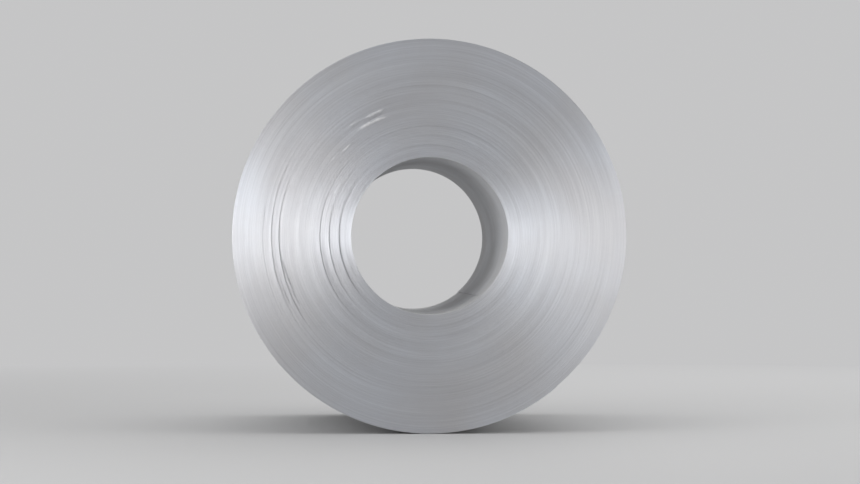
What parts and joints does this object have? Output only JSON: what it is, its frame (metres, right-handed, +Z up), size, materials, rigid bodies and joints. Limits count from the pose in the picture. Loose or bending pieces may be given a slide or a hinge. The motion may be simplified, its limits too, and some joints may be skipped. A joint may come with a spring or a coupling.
{
  "type": "steel coil",
  "caption": "Wound coil of bright cold-rolled steel strip with an open bore, lying on its side and held shut by flat steel straps with crimped seals.",
  "frame": {"origin": "on the floor, under the middle of the coil as it lies on its side", "axes": "+Z up; +Y along the coil's axis, from the pictured front end to the rear end; +X to the right as the front end is looked at"},
  "size_m": [1.2817, 1.256, 1.2817],
  "materials": {
    "strip_steel": "bright cold-rolled strip, satin, with fine rolling lines",
    "strap_steel": "blued and waxed steel strapping, half gloss",
    "seal_steel": "zinc-coated, dull grey, with two notches crimped into each side"
  },
  "bodies": {
    "root": {"steel_coil": "strip_steel", "strap_front": "strap_steel", "strap_middle": "strap_steel", "strap_rear": "strap_steel", "seal_front": "seal_steel", "seal_middle": "seal_steel", "seal_rear": "seal_steel"}
  },
  "joints": []
}
